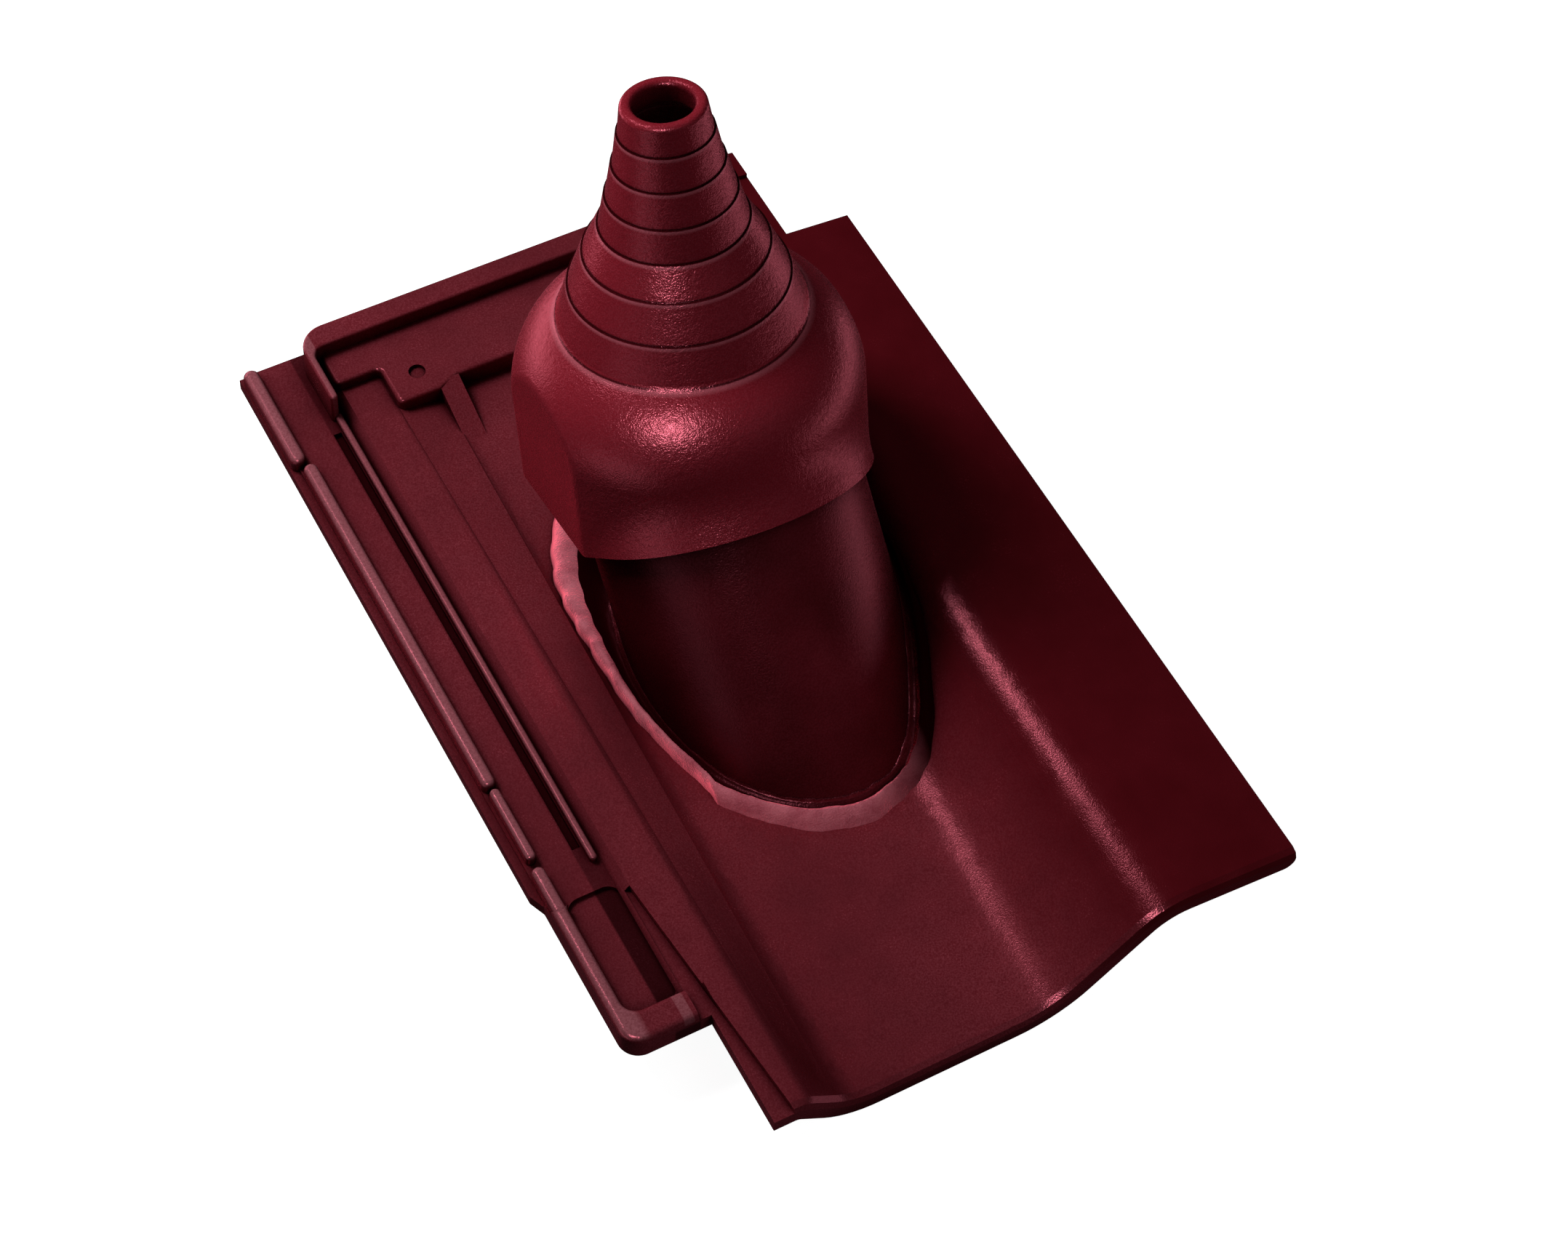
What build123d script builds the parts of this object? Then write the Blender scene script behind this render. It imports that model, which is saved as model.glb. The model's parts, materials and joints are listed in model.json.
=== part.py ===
"""Clay roof tile with a slanted neck and a soft moulded cap for an antenna mast.

The tile lies face up on its foot edge and its hanging nibs. +X runs across the tile towards the
covering roll, +Y from the foot to the head, +Z up. All sizes are millimetres and degrees.
"""
import os
from math import cos, hypot, radians, sin, tan

from build123d import *

os.makedirs("parts", exist_ok=True)

# Tile: overall sizes
tile_width = 307.0
tile_length = 472.0
tile_thickness = 11.0

# Tile: levels of the top face above the plane the tile lies on
pan_rise = 20.0
strip_level = 33.0
crest_level = 62.0
right_edge_level = 55.0

# Tile: the section, from the left edge, with the roll measured from the right edge
strip_left = 44.0
strip_right = 60.0
pan_left = 86.0
roll_width = 71.0
flank_angle = 45.0
strip_radius = 16.0
pan_radius = 34.0
flank_radius = 40.0
crest_radius = 34.0
foot_rounding = 4.0
lip_bulge = 0.3
right_edge_rounding = 5.0

# Side lock along the left edge; places along it are from the foot
lock_base = 20.0
lock_floor = 28.0
lock_foot = 58.0
lock_inset = 3.4
lock_corner = 10.0
lock_overlap = 4.0
ledge_level = 26.5
ledge_width = 4.0
ledge_end = 140.0
ledge_slant = 8.0
ledge_corner = 2.0
wall_foot = 36.0
wall_top = 40.5
rib_root = 22.0
border_level = 34.5
border_rounding = 3.5
border_head = 134.0
pocket_left = 11.0
pocket_right = 37.0
pocket_foot = 73.0
pocket_head = 137.0
pocket_corner = 7.0
pocket_depth = 2.0
bevel_level = 29.5
bevel_left = 38.0
bevel_right_foot = 54.0
bevel_head = 130.0

# Side lock ribs and groove; places along them are from the head
outer_rib_level = 34.5
rib_round_back = 0.4
groove_left = 27.0
groove_width = 4.0
groove_depth = 2.5
groove_start = 52.0
groove_end = 312.0
thin_rib_left = 31.5
thin_rib_width = 3.5
thin_rib_level = 32.0
thin_rib_start = 43.0
thin_rib_end = 322.0
# Left edge, width, start and end of each length of the outer rib
outer_ribs = [
    (0.8, 8.0, 1.0, 64.0),
    (4.2, 7.0, 66.0, 268.5),
    (5.4, 5.0, 270.0, 311.0),
    (4.2, 6.4, 315.0, 342.0),
]

# Head lock; places along it are from the head
plateau_level = 39.0
plateau_base = 26.0
plateau_rounding = 2.0
plateau_left = 38.0
plateau_reach = 22.0
left_step = 32.0
left_step_end = 61.0
tab_front = 56.0
tab_end = 83.0
long_step = 52.0
long_step_start = 94.0
tab_corner = 3.0
dimple_across = 76.5
dimple_place = 42.0
dimple_radius = 4.2
dimple_depth = 2.0
head_rim_width = 13.0
head_rim_setback = 0.5
head_rim_level = 47.0
head_rim_rounding = 1.5
head_rim_left = 30.0
head_rim_reach = 12.0
head_rib_width = 4.0
head_rib_end = 45.0
head_rib_tip = 1.9
head_rim_bend = 14.0
head_rim_hollow = 6.0
ramp_end = 88.0
band_height = 2.0
band_width = 16.0
notch_width = 35.0
notch_length = 58.0

# Underside: hanging nibs with their bearing pads, and the ribs of the covering roll
nib_width = 36.0
nib_depth = 15.0
nib_place = 36.0
nib_left_edges = [72.0, 152.0]
nib_root = 24.0
bearing_length = 38.0
bearing_level = 14.0
cover_rib_width = 5.0
cover_rib_foot = 14.0
cover_rib_end = 70.0
# Distance from the right edge, lower level and root level of each rib under the covering roll
cover_ribs = [(39.0, 40.0, 51.0), (21.0, 38.0, 49.0)]

# Neck: its axis leaves the ground at neck_across, neck_along; lengths run up that axis
neck_across = 159.5
neck_along = 196.8
neck_tilt = 41.0
neck_radius = 65.5
neck_bore = 55.0
neck_start = -75.0
joint_gap = 0.3

# Bead of luting clay round the neck
bead_width = 7.5
bead_height = 6.5
bead_rounding = 3.0
bead_lip_gap = 0.8

# Cap: sleeve and hood; heights run up the cap's own axis from where it leaves the neck's axis
sleeve_length = 32.6
sleeve_radius = 71.5
socket_gap = 0.6
seat_thickness = 4.0
seat_bore = 57.0
front_hollow = 50.0
lip_trim = 20.0
bend_rise = 25.9
cap_tilt = 12.0
cap_wall = 4.0
hood_radius = 81.0
hood_half_width = 74.5
hood_flat_rounding = 9.0
hood_rim = -48.5
hood_spring = 1.5

# Cap: collar and stepped cone, each band with its upper radius and its height
collar_radius = 57.0
collar_foot = 43.5
collar_hollow = 5.0
cone_bands = [(50.5, 18.5), (42.4, 17.7), (34.2, 14.6), (29.8, 15.5), (25.4, 16.3), (21.8, 16.0)]
band_step = 0.8
mouth_band = 14.4
mouth_radius = 13.6
mouth_outer_radius = 19.0
mouth_rounding = 2.6
mouth_bore_length = 10.0

crest_start = tile_width - roll_width


def across(distance):
    """Place across the tile, from its left edge."""
    return distance - tile_width / 2


def along(distance):
    """Place along the tile, from its foot."""
    return distance - tile_length / 2


def from_head(distance):
    """Place along the tile, from its head."""
    return tile_length / 2 - distance


def cross_plane(distance):
    """Plane across the tile at a distance from its foot, facing the foot."""
    return Plane(origin=(0, along(distance), 0), x_dir=(1, 0, 0), z_dir=(0, -1, 0))


def section_points(distance, depth):
    """Corners of the tile's top outline at a distance from the foot, sunk square to the face."""
    pan = tile_thickness + pan_rise * distance / tile_length
    flank_foot = crest_start - (crest_level - pan) / tan(radians(flank_angle))
    top = [
        (across(strip_left), strip_level),
        (across(strip_right), strip_level),
        (across(pan_left), pan),
        (across(flank_foot), pan),
        (across(crest_start), crest_level),
        (across(tile_width), right_edge_level),
    ]
    lines = []
    for (x0, z0), (x1, z1) in zip(top, top[1:]):
        span = hypot(x1 - x0, z1 - z0)
        slope = (z1 - z0) / (x1 - x0)
        lines.append((x0 + depth * (z1 - z0) / span, z0 - depth * (x1 - x0) / span, slope))
    x0, z0, slope = lines[0]
    points = [(top[0][0], z0 + slope * (top[0][0] - x0))]
    for (x0, z0, slope0), (x1, z1, slope1) in zip(lines, lines[1:]):
        x = (z1 - z0 + slope0 * x0 - slope1 * x1) / (slope0 - slope1)
        points.append((x, z0 + slope0 * (x - x0)))
    x0, z0, slope = lines[-1]
    points.append((top[-1][0], z0 + slope * (top[-1][0] - x0)))
    return points


def section_radii(depth):
    """Bend radii of the outline sunk by a depth: hollows grow, humps shrink."""
    return [strip_radius - depth, pan_radius + depth, flank_radius + depth, crest_radius - depth]


def tile_slice(distance, upper, lower):
    """Section of the layer between two depths under the tile's top face."""
    with BuildSketch(cross_plane(distance)) as layer:
        with BuildLine():
            top = FilletPolyline(*section_points(distance, upper), radius=section_radii(upper))
            bottom = FilletPolyline(*section_points(distance, lower), radius=section_radii(lower))
            Line(top @ 0, bottom @ 0)
            Line(top @ 1, bottom @ 1)
        make_face()
    return layer.sketch


def under_slice(distance, depth, level):
    """Section of all that lies under the top outline sunk by a depth, down to a level."""
    with BuildSketch(cross_plane(distance)) as space:
        with BuildLine():
            outline = section_points(distance, depth)
            top = FilletPolyline(*outline, radius=section_radii(depth))
            Polyline(top @ 0, (outline[0][0], level), (outline[-1][0], level), top @ 1)
        make_face()
    return space.sketch


def box_between(left, right, foot, head, base, top, mode=Mode.ADD):
    """Box from its limits: across from the left edge, along in the tile's own frame, and levels."""
    with Locations((across((left + right) / 2), (foot + head) / 2, (base + top) / 2)):
        Box(right - left, head - foot, top - base, mode=mode)


def rounded_rib(left, width, start, end, top):
    """Rib along the side lock with round ends and a round back, from the head."""
    middle = (across(left + width / 2), from_head((start + end) / 2), rib_root)
    with BuildPart() as rib:
        with BuildSketch(Plane(origin=middle)):
            SlotOverall(end - start, width, rotation=90)
        extrude(amount=top - rib_root)
        fillet(rib.faces().sort_by(Axis.Z)[-1].edges(), radius=rib_round_back * width)
    return rib.part


def bead_top(turn):
    """Height up the neck's axis of the bead's upper edge, at a turn from the roll towards the head."""
    reach = neck_radius + bead_width
    lean = radians(neck_tilt)
    flank = radians(flank_angle)
    slope = pan_rise / tile_length
    drop = reach * sin(turn) * sin(lean)
    crest_gap = max(0, crest_start - neck_across - reach * cos(turn))
    on_roll = crest_level - crest_gap * tan(flank) + bead_height / cos(flank)
    on_pan = tile_thickness + slope * (neck_along + reach * sin(turn) * cos(lean)) + bead_height
    return max((on_roll + drop) / cos(lean), (on_pan + drop) / (cos(lean) - slope * sin(lean)))


def neck_plane(height):
    """Plane square to the neck's axis, at a height up that axis."""
    lean = Vector(0, sin(radians(neck_tilt)), cos(radians(neck_tilt)))
    return Plane(Vector(across(neck_across), along(neck_along), 0) + lean * height, (1, 0, 0), lean)


def hood_body(radius, half_width, rim, shoulder, cone, flat_rounding):
    """Solid turned about the cap's axis: a hood with flat sides under a cone."""
    lean = radians(cap_tilt)
    bend = neck_plane(neck_end + bend_rise).origin
    axis = Axis(bend, (0, sin(lean), cos(lean)))
    with BuildPart() as body:
        with BuildSketch(Plane(bend, x_dir=(1, 0, 0), z_dir=(0, -cos(lean), sin(lean)))):
            with BuildLine():
                Polyline((0, rim), (radius, rim), (radius, hood_spring))
                TangentArc((radius, hood_spring), shoulder, tangent=(0, 1))
                Polyline(shoulder, *cone, (0, rim))
            make_face()
        revolve(axis=axis)
        for side in (-1, 1):
            with Locations((bend.X + side * (half_width + radius), bend.Y, bend.Z)):
                Box(2 * radius, 4 * radius, 4 * radius, mode=Mode.SUBTRACT)
        if flat_rounding:
            flats = body.faces().filter_by(Axis.X)
            fillet([e for e in flats.edges() if e.geom_type != GeomType.LINE], radius=flat_rounding)
    return body.part


# The cap's lip clears the bead where it climbs highest on the roll, and the neck fills the sleeve
sleeve_lip = max(bead_top(radians(turn)) for turn in range(91)) + bead_lip_gap
neck_end = sleeve_lip + sleeve_length

# Roof tile: pressed clay, one piece
lock_outline = [
    (across(0), from_head(0)),
    (across(0), along(ledge_end + ledge_slant)),
    (across(lock_inset), along(ledge_end)),
    (across(lock_inset), along(lock_foot)),
    (across(strip_left + lock_overlap), along(lock_foot)),
    (across(strip_left + lock_overlap), from_head(0)),
]
lock_corners = [0, ledge_corner, ledge_corner, lock_corner, 0, 0]
plateau_right = crest_start - plateau_reach
plateau_outline = [
    (across(plateau_left), from_head(head_rim_width / 2)),
    (across(plateau_left), from_head(left_step)),
    (across(left_step_end), from_head(left_step)),
    (across(left_step_end), from_head(tab_front)),
    (across(tab_end), from_head(tab_front)),
    (across(long_step_start), from_head(long_step)),
    (across(plateau_right), from_head(long_step)),
    (across(plateau_right), from_head(head_rim_width / 2)),
]
plateau_corners = [0, tab_corner, tab_corner, tab_corner, tab_corner, tab_corner, 0, 0]

lock_ribs = [rounded_rib(*rib, outer_rib_level) for rib in outer_ribs]
lock_ribs.append(rounded_rib(thin_rib_left, thin_rib_width, thin_rib_start, thin_rib_end, thin_rib_level))

with BuildPart() as lower_border:
    with BuildSketch(Plane.XY.offset(rib_root)):
        with BuildLine():
            FilletPolyline(*lock_outline, radius=lock_corners, close=True)
        make_face()
        with Locations((0, along(border_head) + tile_length / 2)):
            Rectangle(tile_width, tile_length, mode=Mode.SUBTRACT)
        with Locations((across((pocket_left + 2 * strip_left) / 2), along((pocket_foot + pocket_head) / 2))):
            RectangleRounded(
                2 * strip_left - pocket_left, pocket_head - pocket_foot, pocket_corner, mode=Mode.SUBTRACT
            )
    extrude(amount=border_level - rib_root)
    fillet(lower_border.faces().sort_by(Axis.Z)[-1].edges(), radius=border_rounding)

with BuildPart() as plateau:
    with BuildSketch(Plane.XY.offset(plateau_base)):
        with BuildLine():
            FilletPolyline(*plateau_outline, radius=plateau_corners, close=True)
        make_face()
    extrude(amount=plateau_level - plateau_base)
    fillet(plateau.faces().sort_by(Axis.Z)[-1].edges(), radius=plateau_rounding)
    with Locations((across(dimple_across), from_head(dimple_place), plateau_level)):
        Cylinder(dimple_radius, 2 * dimple_depth, mode=Mode.SUBTRACT)

with BuildPart() as head_rim:
    head_rim_right = crest_start - head_rim_reach
    head_rib_right = head_rim_left + head_rib_width
    with BuildSketch(cross_plane(tile_length)):
        with BuildLine():
            Polyline(
                (across(head_rim_left), rib_root),
                (across(head_rim_left), head_rim_level),
                (across(head_rim_right), head_rim_level),
                (across(head_rim_right - head_rim_level + plateau_base), plateau_base),
                (across(plateau_left), plateau_base),
                (across(plateau_left), rib_root),
                close=True,
            )
        make_face()
    extrude(amount=head_rib_end)
    with BuildSketch():
        with BuildLine():
            FilletPolyline(
                (across(head_rim_left), from_head(head_rib_end)),
                (across(head_rim_left), from_head(head_rim_setback)),
                (across(head_rim_right), from_head(head_rim_setback)),
                (across(head_rim_right), from_head(head_rim_width)),
                (across(head_rib_right), from_head(head_rim_width)),
                (across(head_rib_right), from_head(head_rib_end)),
                radius=[head_rib_tip, head_rim_bend, 0, 0, head_rim_hollow, head_rib_tip],
                close=True,
            )
        make_face()
    extrude(amount=head_rim_level, mode=Mode.INTERSECT)
    fillet(head_rim.faces().sort_by(Axis.Z)[-1].edges(), radius=head_rim_rounding)

with BuildPart() as roof_tile:
    # Pan, strip and covering roll
    lip_shoulder = lip_bulge * foot_rounding
    body_slices = [
        tile_slice(0, foot_rounding, tile_thickness),
        tile_slice(lip_shoulder, lip_shoulder, tile_thickness),
        tile_slice(foot_rounding, 0, tile_thickness),
        tile_slice(tile_length, 0, tile_thickness),
    ]
    loft(sections=body_slices, ruled=True)
    right_edges = roof_tile.faces().sort_by(Axis.X)[-1].edges().filter_by(Axis.Y)
    fillet(right_edges.sort_by(Axis.Z)[-1], radius=right_edge_rounding)

    # Side lock: floor, wall up to the strip, border and pocket of its lower end
    with BuildSketch(Plane.XY.offset(lock_base)):
        with BuildLine():
            FilletPolyline(*lock_outline, radius=lock_corners, close=True)
        make_face()
    extrude(amount=lock_floor - lock_base)
    with BuildSketch(cross_plane(tile_length)):
        with BuildLine():
            Polyline(
                (across(wall_foot), rib_root),
                (across(wall_foot), lock_floor),
                (across(wall_top), strip_level),
                (across(strip_left + lock_overlap), strip_level),
                (across(strip_left + lock_overlap), rib_root),
                close=True,
            )
        make_face()
    extrude(amount=tile_length - lock_foot)
    add(lower_border.part)
    with BuildSketch(Plane.XY.offset(lock_floor)):
        with Locations((across((pocket_left + pocket_right) / 2), along((pocket_foot + pocket_head) / 2))):
            RectangleRounded(pocket_right - pocket_left, pocket_head - pocket_foot, pocket_corner)
    extrude(amount=-pocket_depth, mode=Mode.SUBTRACT)

    # Side lock: ledge, groove, ribs and the bevel of the strip below it
    box_between(-1, ledge_width, along(ledge_end), from_head(-1), ledge_level, crest_level, Mode.SUBTRACT)
    groove_right = groove_left + groove_width
    groove_base = lock_floor - groove_depth
    box_between(
        groove_left, groove_right, from_head(groove_end), from_head(groove_start), groove_base, crest_level,
        Mode.SUBTRACT,
    )
    add(lock_ribs)
    with BuildSketch(Plane.XY.offset(bevel_level)):
        with BuildLine():
            Polyline(
                (across(bevel_left), along(-1)),
                (across(bevel_right_foot), along(-1)),
                (across(wall_top), along(bevel_head)),
                (across(bevel_left), along(bevel_head)),
                close=True,
            )
        make_face()
    extrude(amount=crest_level, mode=Mode.SUBTRACT)

    # Head lock: plateau, rim with its rib, ramp beside the tab, band over the roll and notched corner
    add(plateau.part)
    add(head_rim.part)
    with BuildSketch(Plane(origin=(across(tab_end), 0, 0), x_dir=(0, 1, 0), z_dir=(1, 0, 0))):
        with BuildLine():
            Polyline(
                (from_head(long_step), plateau_level),
                (from_head(long_step), plateau_base),
                (from_head(ramp_end), plateau_base),
                close=True,
            )
        make_face()
    extrude(amount=long_step_start - tab_end)
    band_slices = [tile_slice(end, -band_height, 1) for end in (tile_length - band_width, tile_length)]
    loft(sections=band_slices, ruled=True)
    notch_left = tile_width - notch_width
    box_between(
        notch_left, tile_width + 1, from_head(notch_length), from_head(-1), 0, 2 * crest_level, Mode.SUBTRACT
    )

    # Underside: nibs with their bearing pads, and the ribs under the covering roll
    nib_foot = from_head(nib_place)
    for left in nib_left_edges:
        box_between(left, left + nib_width, nib_foot, nib_foot + nib_depth, 0, nib_root)
        box_between(left, left + nib_width, nib_foot - bearing_length, nib_foot, bearing_level, nib_root)
    cover_rib_limits = (along(cover_rib_foot), from_head(cover_rib_end))
    for inset, lower, root in cover_ribs:
        left = tile_width - inset
        box_between(left, left + cover_rib_width, *cover_rib_limits, lower, root)

    # Hole for the neck
    with BuildSketch(neck_plane(neck_start)):
        Circle(neck_radius + joint_gap)
    extrude(amount=neck_end - neck_start, mode=Mode.SUBTRACT)

roof_tile.part.label = "roof_tile"
export_step(roof_tile.part, "parts/roof_tile.step")

# Neck: clay tube set into the tile on the slant and trimmed flush with its underside
with BuildPart() as mast_neck:
    with BuildSketch(neck_plane(neck_start)):
        Circle(neck_radius)
        Circle(neck_bore, mode=Mode.SUBTRACT)
    extrude(amount=neck_end - neck_start)
    ground = [under_slice(end, tile_thickness, 2 * neck_start) for end in (0, tile_length)]
    loft(sections=ground, ruled=True, mode=Mode.SUBTRACT)

mast_neck.part.label = "mast_neck"
export_step(mast_neck.part, "parts/mast_neck.step")

# Collar: bead of luting clay that follows the tile's face round the neck
with BuildPart() as neck_collar:
    with BuildSketch(neck_plane(neck_start)):
        Circle(neck_radius + bead_width)
    extrude(amount=neck_end - neck_start)
    cover = [under_slice(end, -bead_height, 2 * neck_start) for end in (0, tile_length)]
    loft(sections=cover, ruled=True, mode=Mode.INTERSECT)
    bead_edges = neck_collar.faces().filter_by(GeomType.CYLINDER).edges().filter_by(GeomType.BSPLINE)
    fillet(bead_edges, radius=bead_rounding)
    ground = [under_slice(end, -joint_gap, 2 * neck_start) for end in (0, tile_length)]
    loft(sections=ground, ruled=True, mode=Mode.SUBTRACT)
    with BuildSketch(neck_plane(neck_start)):
        Circle(neck_radius + joint_gap)
    extrude(amount=neck_end - neck_start, mode=Mode.SUBTRACT)

neck_collar.part.label = "neck_collar"
export_step(neck_collar.part, "parts/neck_collar.step")

# Cap: one soft moulding, a hood that pushes over the neck under a stepped cone for the mast
shoulder = (collar_radius, collar_foot)
inner_shoulder = (collar_radius - cap_wall, collar_foot - cap_wall)
cone_outline = []
cone_hollow = []
height = collar_foot
for radius, band in cone_bands:
    height += band
    cone_outline.extend([(radius, height), (radius - band_step, height)])
    cone_hollow.append((radius - band_step - cap_wall, height))
mouth_height = height + mouth_band
cone_outline.extend([(mouth_outer_radius, mouth_height), (0, mouth_height)])
mouth_bore = [
    (mouth_radius, mouth_height - mouth_bore_length),
    (mouth_radius, mouth_height + 1),
    (0, mouth_height + 1),
]
hood_outside = hood_body(hood_radius, hood_half_width, hood_rim, shoulder, cone_outline, hood_flat_rounding)
hood_hollow = hood_body(
    hood_radius - cap_wall,
    hood_half_width - cap_wall,
    hood_rim - 1,
    inner_shoulder,
    cone_hollow[2::3] + mouth_bore,
    0,
)

with BuildPart() as mast_cap:
    # Outside: the sleeve leaves the hood's front in a soft hollow and is cut square at its lip
    add(hood_outside)
    circles = mast_cap.edges().filter_by(GeomType.CIRCLE)
    crease = circles.filter_by(lambda edge: abs(edge.radius - collar_radius) < socket_gap)
    fillet(crease, radius=collar_hollow)
    with BuildSketch(neck_plane(sleeve_lip - lip_trim)):
        Circle(sleeve_radius)
    extrude(amount=lip_trim + sleeve_length + bend_rise)
    arch = mast_cap.edges(Select.NEW).filter_by(GeomType.BSPLINE).sort_by(Axis.Y)[0]
    fillet(arch, radius=front_hollow)
    with BuildSketch(neck_plane(sleeve_lip)):
        Circle(2 * hood_radius)
    extrude(amount=-hood_radius, mode=Mode.SUBTRACT)

    # Inside: the hood's hollow, with the sleeve, its seat for the neck's end and the way through
    add(hood_hollow, mode=Mode.SUBTRACT)
    with BuildSketch(neck_plane(sleeve_lip)):
        Circle(sleeve_radius)
    extrude(amount=sleeve_length + seat_thickness)
    with BuildSketch(neck_plane(sleeve_lip)):
        Circle(neck_radius + socket_gap)
    extrude(amount=sleeve_length, mode=Mode.SUBTRACT)
    with BuildSketch(neck_plane(sleeve_lip)):
        Circle(seat_bore)
    extrude(amount=sleeve_length + seat_thickness, mode=Mode.SUBTRACT)

    # Mouth with a round lip
    fillet(mast_cap.faces().sort_by(Axis.Z)[-1].edges(), radius=mouth_rounding)

mast_cap.part.label = "mast_cap"
export_step(mast_cap.part, "parts/mast_cap.step")
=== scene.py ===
import json
from math import cos, pi, radians, sin

import bpy
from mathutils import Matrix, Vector, noise
from mathutils.bvhtree import BVHTree


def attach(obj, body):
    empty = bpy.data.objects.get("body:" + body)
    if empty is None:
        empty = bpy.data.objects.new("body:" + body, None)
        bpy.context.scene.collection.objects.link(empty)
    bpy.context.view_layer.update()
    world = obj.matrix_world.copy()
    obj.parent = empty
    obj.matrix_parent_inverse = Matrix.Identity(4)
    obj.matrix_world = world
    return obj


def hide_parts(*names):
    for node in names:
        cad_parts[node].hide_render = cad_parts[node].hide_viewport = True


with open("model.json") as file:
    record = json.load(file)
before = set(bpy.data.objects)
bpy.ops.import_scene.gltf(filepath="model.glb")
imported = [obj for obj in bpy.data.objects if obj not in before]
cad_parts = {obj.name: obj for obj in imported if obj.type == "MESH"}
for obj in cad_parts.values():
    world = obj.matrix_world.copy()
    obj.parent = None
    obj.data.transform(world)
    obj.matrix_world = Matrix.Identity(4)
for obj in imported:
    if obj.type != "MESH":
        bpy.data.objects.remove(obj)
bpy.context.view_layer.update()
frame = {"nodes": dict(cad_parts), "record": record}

# Roof tile
# Pressed and fired clay with a wine red engobe, sprayed on before firing. Fine sand in the
# slip leaves a speckled, half matt face. Its colour has painted shade in corners and grooves,
# in the lock's gutter, on the roll and on slopes turned to the right, and a painted highlight
# along the rib tops.


class Shade:
    """A socket of a material's node tree; sums on it add Math nodes to the tree."""

    def __init__(self, tree, socket=None):
        self.tree = tree
        self.socket = socket

    def make(self, kind, settings=(), inputs=(), output=0):
        """Adds a node, sets it up, fills its inputs and gives one of its outputs."""
        node = self.tree.nodes.new(kind)
        for name, value in dict(settings).items():
            setattr(node, name, value)
        for name, value in dict(inputs).items():
            if isinstance(value, Shade):
                self.tree.links.new(value.socket, node.inputs[name])
            elif hasattr(value, "__len__"):
                size = len(node.inputs[name].default_value)
                node.inputs[name].default_value = (*value, 1)[:size]
            else:
                node.inputs[name].default_value = value
        return Shade(self.tree, node.outputs[output])

    def math(self, operation, first, second):
        return self.make("ShaderNodeMath", {"operation": operation}, {0: first, 1: second})

    def __add__(self, other):
        return self.math("ADD", self, other)

    __radd__ = __add__

    def __sub__(self, other):
        return self.math("SUBTRACT", self, other)

    def __rsub__(self, other):
        return self.math("SUBTRACT", other, self)

    def __mul__(self, other):
        return self.math("MULTIPLY", self, other)

    __rmul__ = __mul__

    def noise(self, scale, detail=2.0, roughness=0.5):
        """Cloudy value from 0 to 1 whose patches repeat about scale times in a metre."""
        values = {"Vector": self, "Scale": scale, "Detail": detail, "Roughness": roughness}
        return self.make("ShaderNodeTexNoise", {}, values)

    def between(self, low, high):
        """This value stretched so that low gives 0 and high gives 1, kept inside those."""
        values = {"Value": self, "From Min": low, "From Max": high}
        return self.make("ShaderNodeMapRange", {"clamp": True}, values)

    def part(self, name):
        """One of the three parts, X, Y or Z, of this place or direction."""
        return self.make("ShaderNodeSeparateXYZ", {}, {0: self}, name)

    def mix(self, first, second):
        """Colour that goes from the first to the second as this value goes from 0 to 1."""
        values = {0: self, 6: first, 7: second}
        return self.make("ShaderNodeMix", {"data_type": "RGBA"}, values, 2)


def new_finish(name):
    """A material with one Principled shader; gives it, the shader and the place in the object."""
    material = bpy.data.materials.new(name)
    material.use_nodes = True
    tree = material.node_tree
    shader = tree.nodes["Principled BSDF"]
    place = Shade(tree).make("ShaderNodeTexCoord", output="Object")
    return material, shader, place


def link(value, shader, name):
    """Feeds a value of the tree to one of the shader's inputs."""
    value.tree.links.new(value.socket, shader.inputs[name])


def hollows(place, reach):
    """1 on open faces, falling to 0 deep in grooves and corners narrower than a reach."""
    values = {"Distance": reach}
    open_sky = place.make("ShaderNodeAmbientOcclusion", {"samples": 6}, values, "AO")
    return open_sky.between(0.35, 0.95)


def polish(material, shader, tint, roughness, relief, index, unshaded):
    """Lays a tinted gloss over a finish; it grows towards grazing views and fades in hollows."""
    tree = material.node_tree
    shader.inputs["Specular IOR Level"].default_value = 0
    link(relief, shader, "Normal")
    values = {"Color": tint, "Roughness": roughness, "Normal": relief}
    gloss = relief.make("ShaderNodeBsdfAnisotropic", {}, values)
    edge = relief.make("ShaderNodeFresnel", {}, {"IOR": index, "Normal": relief})
    both = relief.make("ShaderNodeMixShader", {}, {0: edge * unshaded, 2: gloss})
    tree.links.new(shader.outputs[0], both.socket.node.inputs[1])
    tree.links.new(both.socket, tree.nodes["Material Output"].inputs["Surface"])


def dress(node, material):
    """Gives a CAD node its finish."""
    piece = frame["nodes"][node]
    piece.data.materials.clear()
    piece.data.materials.append(material)
    return piece


def bumps(place, height, depth, strength):
    """Fine relief of a face: a height from 0 to 1 that stands for a depth in metres."""
    values = {"Strength": strength, "Distance": depth, "Height": height}
    return place.make("ShaderNodeBump", {}, values, "Normal")


def soften(piece, width):
    """Rounds a node's sharp edges by a width, as pressing and firing do."""
    bevel = piece.modifiers.new("soft edges", "BEVEL")
    bevel.width = width
    bevel.segments = 2
    bevel.limit_method = "ANGLE"
    bevel.angle_limit = radians(38)
    bevel.use_clamp_overlap = True
    even = piece.modifiers.new("even shading", "WEIGHTED_NORMAL")
    even.keep_sharp = False


engobe = (0.110, 0.0058, 0.0105)
dark_engobe_and_shade = (0.060, 0.0024, 0.0045)
engobe_dust = (0.25, 0.046, 0.063)
# Near black red that the colours below blend to as painted shade.
painted_shade_red = (0.008, 0.0002, 0.0005)
rib_highlight_pink = (0.30, 0.100, 0.120)
sheen = (1.0, 0.22, 0.30)
noise_spread = (0.35, 0.68)

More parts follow.
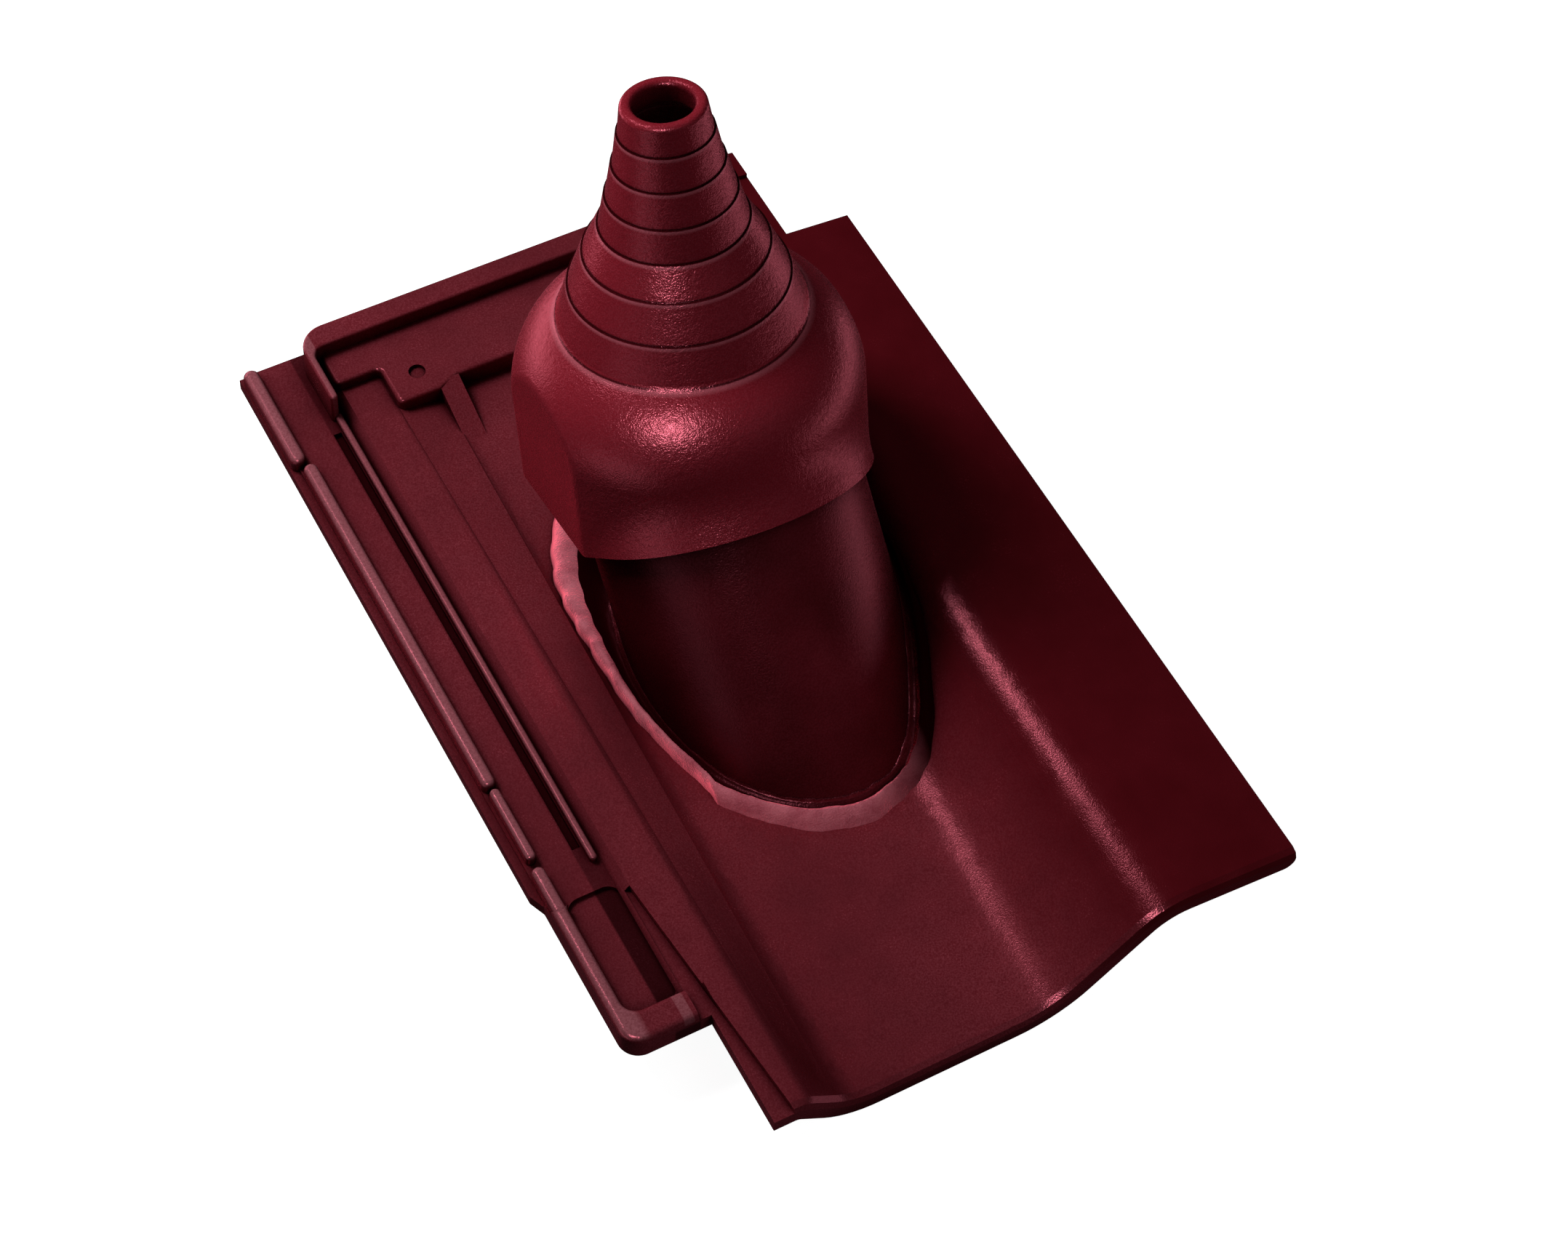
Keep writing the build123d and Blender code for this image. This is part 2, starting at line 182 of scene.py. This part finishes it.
# Where the lock's ribs and gutter start and end, across the tile and in height, in metres.
border_edge = (-0.141, -0.138)
border_level = (0.0325, 0.0342)
thin_rib_left = (-0.1228, -0.1222)
thin_rib_right = (-0.1180, -0.1174)
thin_rib_level = (0.0295, 0.0312)
gutter_left = (-0.1275, -0.1265)
gutter_right = (-0.1150, -0.1142)
gutter_level = (0.0272, 0.0296)
roll_start = (0.030, 0.075)
turned_right = (0.30, 0.65)

tile_clay, shader, place = new_finish("tile clay")
cloud = place.noise(9, 4).between(*noise_spread)
patches = place.noise(55, 3).between(0.35, 0.7)
speckle = place.noise(1200, 2, 0.6).between(*noise_spread)
clay = (0.6 * cloud + 0.4 * patches).mix(dark_engobe_and_shade, engobe)
# Painted shade: the colour goes near black in corners and grooves, where shade falls.
unshaded = hollows(place, 0.028)
across = place.part("X")
level = place.part("Z")
border = (1 - across.between(*border_edge)) * level.between(*border_level)
thin_rib = across.between(*thin_rib_left) * (1 - across.between(*thin_rib_right))
thin_rib = thin_rib * level.between(*thin_rib_level)
gutter = across.between(*gutter_left) * (1 - across.between(*gutter_right))
gutter = gutter * (1 - level.between(*gutter_level))
# Painted shade on the roll: it is darker and takes less dusting, where less light falls.
roll_shade = across.between(*roll_start)
# Painted shade on slopes turned to the right, away from the light.
facing = place.make("ShaderNodeTexCoord", output="Normal")
right_slope_shade = facing.part("X").between(*turned_right)
dust_and_roll_shade = (0.16 + 0.42 * speckle * (0.35 + 0.65 * cloud)) * (1 - roll_shade)
# Painted highlight: the tops of the border and the thin rib are paler, speckled.
rib_highlight = (0.45 + 0.35 * speckle) * (border + 0.7 * thin_rib)
clay = (0.55 * roll_shade).mix(clay, dark_engobe_and_shade)
clay = dust_and_roll_shade.mix(clay, engobe_dust)
clay = (0.75 * right_slope_shade).mix(clay, painted_shade_red)
clay = rib_highlight.mix(clay, rib_highlight_pink)
# Painted shade in the lock's gutter.
clay = (0.85 * gutter).mix(clay, painted_shade_red)
link(unshaded.mix(painted_shade_red, clay), shader, "Base Color")
relief = bumps(place, speckle + place.noise(320, 2), 0.00006, 0.6)
roughness = 0.19 + 0.06 * speckle + 0.04 * patches
polish(tile_clay, shader, sheen, roughness, relief, 1.45, unshaded)
tile = dress("roof_tile", tile_clay)
soften(tile, 0.0011)

# Neck
# A clay tube, thrown smooth and set in the tile on the slant before firing. Its engobe is
# smoother than the tile's. Its colour has painted shade on the left, where the cap shades it,
# and in the hollows at its foot.

neck_shade = (-0.075, 0.0)
neck_clay, shader, place = new_finish("neck clay")
speckle = place.noise(1200, 2, 0.6).between(*noise_spread)
cloud = place.noise(20, 3).between(*noise_spread)
# Painted shade on the left side and in the hollows near the foot.
unshaded = hollows(place, 0.05) * hollows(place, 0.05) * place.part("X").between(*neck_shade)
clay = (0.12 * speckle * cloud).mix(cloud.mix(dark_engobe_and_shade, engobe), engobe_dust)
link(unshaded.mix(painted_shade_red, clay), shader, "Base Color")
relief = bumps(place, speckle + place.noise(300, 2), 0.0001, 0.5)
polish(neck_clay, shader, sheen, 0.24 + 0.08 * speckle, relief, 1.4, unshaded)
dress("mast_neck", neck_clay)

# Collar
# A bead of luting clay, pressed round the neck's foot by hand and wiped with a finger. It is
# tight at the front and wide where the neck leans over the pan, and it dries paler than engobe.

clay_pale = (0.50, 0.150, 0.185)
clay_red = (0.26, 0.050, 0.070)
bead_shade = (0.010, 0.045)
luting_clay, shader, place = new_finish("luting clay")
speckle = place.noise(1300, 2, 0.6).between(*noise_spread)
smear = place.noise(70, 4, 0.6).between(0.36, 0.62)
# Painted shade in the bead's hollows and on its right side, near black there.
unshaded = hollows(place, 0.012) * (1 - place.part("X").between(*bead_shade))
clay = (0.65 * smear + 0.3 * speckle).mix(clay_red, clay_pale)
link(unshaded.mix(painted_shade_red, clay), shader, "Base Color")
relief = bumps(place, place.noise(160, 4, 0.6) + 0.2 * speckle, 0.0008, 0.6)
polish(luting_clay, shader, sheen, 0.62 + 0.15 * smear, relief, 1.35, unshaded)

mounts = {mount["name"]: mount for mount in frame["record"]["mounts"]}
neck_middle = Vector(mounts["neck_bore"]["pos_m"])
neck_lean = -Vector(mounts["neck_bore"]["axis"])
neck_radius = 0.0655
neck_side = Vector((1, 0, 0))
neck_back = neck_lean.cross(neck_side)
ray_height = 0.13
tile_face = BVHTree.FromObject(tile, bpy.context.evaluated_depsgraph_get())

# Turn round the neck from the roll's side towards the head in degrees, and there the bead's
# width and height in millimetres.
first_turn = -5
bead_shape = [
    (first_turn, 3.2, 5.0), (15, 6.0, 4.5), (40, 12.0, 4.0), (65, 19.0, 3.0), (90, 25.0, 3.0),
    (110, 31.0, 4.0), (125, 36.0, 6.0), (133, 33.4, 6.8), (140, 30.0, 7.0), (147, 25.0, 7.0),
    (154, 20.1, 7.0), (160, 15.4, 7.0), (171, 10.9, 6.8), (181, 8.4, 6.6), (187, 6.0, 6.4),
    (195, 4.6, 6.4), (205, 3.8, 6.4), (211, 4.9, 6.4), (215, 7.0, 6.2), (223, 5.4, 6.4),
    (229, 4.6, 6.5), (238, 4.0, 6.6), (247, 4.2, 6.6), (258, 3.7, 6.6), (270, 4.5, 6.5),
    (281, 3.8, 6.3), (288, 4.4, 6.2), (295, 6.6, 6.0), (301, 9.3, 6.0), (309, 10.2, 6.0),
    (316, 9.3, 6.0), (328, 8.5, 5.8), (336, 6.7, 5.6), (344, 5.6, 5.4), (355, 3.2, 5.0),
]


def bead_size(turn):
    """Width and height of the bead at a turn in degrees, eased between the stated turns."""
    for (low, *start), (high, *end) in zip(bead_shape, bead_shape[1:]):
        if low <= turn <= high:
            share = (1 - cos(pi * (turn - low) / (high - low))) / 2
            return [(a + (b - a) * share) / 1000 for a, b in zip(start, end)]


def on_tile(turn, reach, lift):
    """Point at a reach from the neck's wall and a lift off the tile's face, up along the neck."""
    outward = cos(radians(turn)) * neck_side + sin(radians(turn)) * neck_back
    landing = max(reach, 0.0005)
    above = neck_middle + (neck_radius + landing) * outward + ray_height * neck_lean
    point, normal, *_ = tile_face.ray_cast(above, -neck_lean)
    return point + (reach - landing) * outward + lift / normal.dot(neck_lean) * neck_lean


# Each section runs from the bead's outer edge over its crest and the wiped trough to the
# neck's wall, and then down inside the wall.
bead_sections = 300
in_wall = -0.0004
bead_points = []
for step in range(bead_sections):
    turn = first_turn + 360 * step / bead_sections
    width, height = bead_size(turn)
    way = Vector((cos(radians(turn)), sin(radians(turn)), 0))
    width += 0.0004 * noise.noise(9 * way) + 0.00015 * noise.noise(45 * way)
    height += 0.0005 * noise.noise(7 * way) + 0.0002 * noise.noise(30 * way)
    crest = max(0.68 * width - 0.0006, 0.0010)
    wipe = 0.0018 + 0.0008 * noise.noise(11 * way)
    bead_points.append([
        on_tile(turn, width + 0.0003, -0.0008),
        on_tile(turn, width, 0.0002),
        on_tile(turn, width - 0.08 * (width - crest), 0.36 * height),
        on_tile(turn, width - 0.30 * (width - crest), 0.72 * height),
        on_tile(turn, width - 0.62 * (width - crest), 0.93 * height),
        on_tile(turn, crest, height),
        on_tile(turn, 0.86 * crest, 0.93 * height),
        on_tile(turn, 0.60 * crest, 0.74 * height),
        on_tile(turn, 0.30 * crest, 0.72 * height),
        on_tile(turn, 0.10 * crest, height),
        on_tile(turn, 0.0001, height + wipe),
        on_tile(turn, in_wall, height + wipe - 0.001),
        on_tile(turn, in_wall, -0.0010),
    ])
ring = len(bead_points[0])
# The wiped trough takes the neck's darker finish, as painted shade in the trough.
wiped_faces = range(6, 11)
bead_faces = []
for step in range(bead_sections):
    here = step * ring
    there = (step + 1) % bead_sections * ring
    for corner in range(ring):
        beside = (corner + 1) % ring
        bead_faces.append((here + corner, here + beside, there + beside, there + corner))
bead_mesh = bpy.data.meshes.new("luting_bead")
bead_mesh.from_pydata([point for section in bead_points for point in section], [], bead_faces)
bead_mesh.materials.append(luting_clay)
bead_mesh.materials.append(neck_clay)
for face in bead_mesh.polygons:
    face.use_smooth = True
    face.material_index = int(face.index % ring in wiped_faces)
bead = bpy.data.objects.new("luting_bead", bead_mesh)
bpy.context.collection.objects.link(bead)
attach(bead, "root")
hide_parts("neck_collar")

# Cap
# One moulding in soft plastic, a hood under a stepped cone. It pushes over the neck and is
# cut at a ring to suit the mast. Its mould leaves a fine orange peel grain. Its colour has
# painted shade in hollows, in the mouth and at each ring's step, and a painted highlight below
# each step.

plastic_red = (0.175, 0.0086, 0.0160)
plastic_pale = (0.24, 0.030, 0.045)
ring_highlight_pink = (0.34, 0.075, 0.098)
cap_sheen = (1.0, 0.22, 0.30)
cone_axis = Vector(mounts["mast_bore"]["axis"])
cap_corners = frame["nodes"]["mast_cap"].data.vertices
mouth = max(corner.co.dot(cone_axis) for corner in cap_corners)
ring_drops = [0.0144, 0.0304, 0.0467, 0.0622, 0.0768, 0.0945, 0.1130]
soft_plastic, shader, place = new_finish("soft plastic")
along = {0: place, 1: cone_axis}
up_cone = place.make("ShaderNodeVectorMath", {"operation": "DOT_PRODUCT"}, along, "Value")
# Painted shade in a thin line at each ring's step, and a painted highlight in a band just below
# it.
cuts = 0.0
edges = 0.0
for drop in ring_drops:
    step_up = mouth - drop
    into_edge = up_cone.between(step_up - 0.0020, step_up - 0.0008)
    into_cut = up_cone.between(step_up - 0.0003, step_up)
    past_cut = up_cone.between(step_up + 0.0004, step_up + 0.0009)
    cuts = cuts + into_cut * (1 - past_cut)
    edges = edges + into_edge * (1 - into_cut)
speckle = place.noise(1400, 1).between(*noise_spread)
peel = place.noise(330, 2, 0.55)
# Painted shade in hollows and inside the mouth.
unshaded = hollows(place, 0.03) * hollows(place, 0.03)
plastic = (0.25 * speckle).mix(plastic_red, plastic_pale)
plastic = (0.9 * edges).mix(plastic, ring_highlight_pink)
plastic = (0.8 * cuts).mix(plastic, painted_shade_red)
link(unshaded.mix(painted_shade_red, plastic), shader, "Base Color")
relief = bumps(place, peel + 0.25 * speckle, 0.0004, 0.6)
polish(soft_plastic, shader, cap_sheen, 0.23 + 0.08 * speckle, relief, 1.5, unshaded)
dress("mast_cap", soft_plastic)

# Studio
# A plain pale floor under the tile, soft boxes over it on the left and behind, low ones at
# its sides that only glint on edges, and the camera where the photograph was taken from.

floor_size = 60
floor_level = -0.0005
bpy.ops.mesh.primitive_plane_add(size=floor_size, location=(0, 0, floor_level))
floor = bpy.context.object
floor.name = "floor"
paper, shader, place = new_finish("paper")
shader.inputs["Base Color"].default_value = (0.35, 0.35, 0.35, 1)
shader.inputs["Roughness"].default_value = 0.9
shader.inputs["Specular IOR Level"].default_value = 0
shader.inputs["Emission Color"].default_value = (1, 1, 1, 1)
shader.inputs["Emission Strength"].default_value = 0.95
floor.data.materials.append(paper)
floor.visible_diffuse = False
floor.visible_glossy = False

light_aim = Vector((0, 0, 0.05))
no_gloss = ["visible_glossy"]
gloss_only = ["visible_diffuse"]
hidden_gloss = ["visible_diffuse", "visible_camera"]

# Name, direction from the tile, distance, width and height in metres, power in watts, and the
# kinds of rays that don't see the light.
soft_boxes = [
    ("key", (-0.38, 0.52, 0.76), 1.2, 0.4, 0.4, 13, no_gloss),
    ("front_fill", (0.32, -0.72, 0.62), 1.9, 1.0, 1.0, 7, no_gloss),
    ("roll_line", (-0.40, 0.46, 0.79), 1.6, 0.04, 0.35, 3, gloss_only),
    ("roll_glow", (-0.36, 0.45, 0.82), 1.6, 0.30, 0.34, 8, gloss_only),
    ("left_front", (-0.50, -0.42, 0.74), 1.5, 0.26, 0.26, 30, gloss_only),
    ("rim_right", (0.97, -0.20, -0.05), 0.55, 0.8, 0.14, 0.9, hidden_gloss),
    ("rim_left", (-0.95, -0.30, -0.02), 0.6, 0.4, 0.14, 0.5, hidden_gloss),
    ("rim_back", (-0.35, 0.93, 0.05), 0.9, 0.7, 0.3, 3, hidden_gloss),
]
for name, direction, distance, width, height, power, unseen_by in soft_boxes:
    lamp = bpy.data.lights.new(name, "AREA")
    lamp.shape = "RECTANGLE"
    lamp.size = width
    lamp.size_y = height
    lamp.energy = power
    holder = bpy.data.objects.new(name, lamp)
    bpy.context.collection.objects.link(holder)
    towards = Vector(direction).normalized()
    holder.location = light_aim + distance * towards
    holder.rotation_euler = (-towards).to_track_quat("-Z", "Y").to_euler()
    for rays in unseen_by:
        setattr(holder, rays, False)

world = bpy.data.worlds.new("studio air")
world.use_nodes = True
air = world.node_tree.nodes["Background"]
air.inputs["Color"].default_value = (1, 1, 1, 1)
air.inputs["Strength"].default_value = 0.03
bpy.context.scene.world = world
bpy.context.scene.view_settings.view_transform = "Standard"

camera_place = Vector((-0.45901, -0.75369, 1.33150))
camera_aim = Vector((0.01266, -0.01726, 0.040))
camera_roll = radians(5.126)
camera_data = bpy.data.cameras.new("camera")
camera_data.sensor_width = 36
camera_data.sensor_fit = "HORIZONTAL"
camera_data.lens = 76.81
camera = bpy.data.objects.new("camera", camera_data)
bpy.context.collection.objects.link(camera)
camera.location = camera_place
camera.rotation_euler = (camera_aim - camera_place).to_track_quat("-Z", "Y").to_euler()
camera.rotation_euler.rotate_axis("Z", camera_roll)
bpy.context.scene.camera = camera
